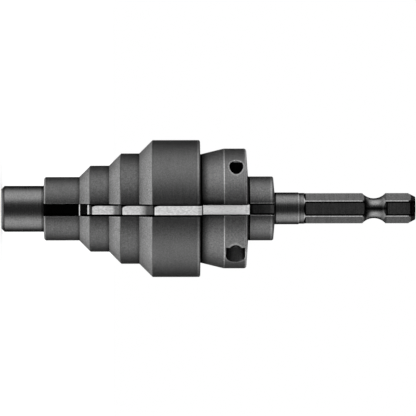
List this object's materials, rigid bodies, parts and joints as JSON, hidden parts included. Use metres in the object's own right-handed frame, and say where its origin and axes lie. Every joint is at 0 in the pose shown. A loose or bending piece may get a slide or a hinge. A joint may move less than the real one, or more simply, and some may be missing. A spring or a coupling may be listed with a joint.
{
  "type": "conduit reamer",
  "caption": "Stepped reamer for deburring cut conduit, with slotted-in blades, a pilot nose and a hex shank for a power driver.",
  "frame": {"origin": "centre of the pilot nose's end face, on the spin axis", "axes": "+Z along the spin axis from the pilot nose to the hex shank, -Y through the middle of the front blade"},
  "size_m": [0.0328, 0.0326, 0.0989],
  "materials": {
    "body_steel": "black oxide on turned steel, matte with a fine grain",
    "arbor_steel": "black oxide on ground steel, satin",
    "blade_steel": "ground bright tool steel",
    "screw_steel": "black oxide on alloy steel"
  },
  "bodies": {
    "root": {"stepped_body": "body_steel", "arbor": "arbor_steel", "blade_front": "blade_steel", "blade_back": "blade_steel", "clamp_screw_front": "screw_steel", "clamp_screw_back": "screw_steel"}
  },
  "joints": []
}
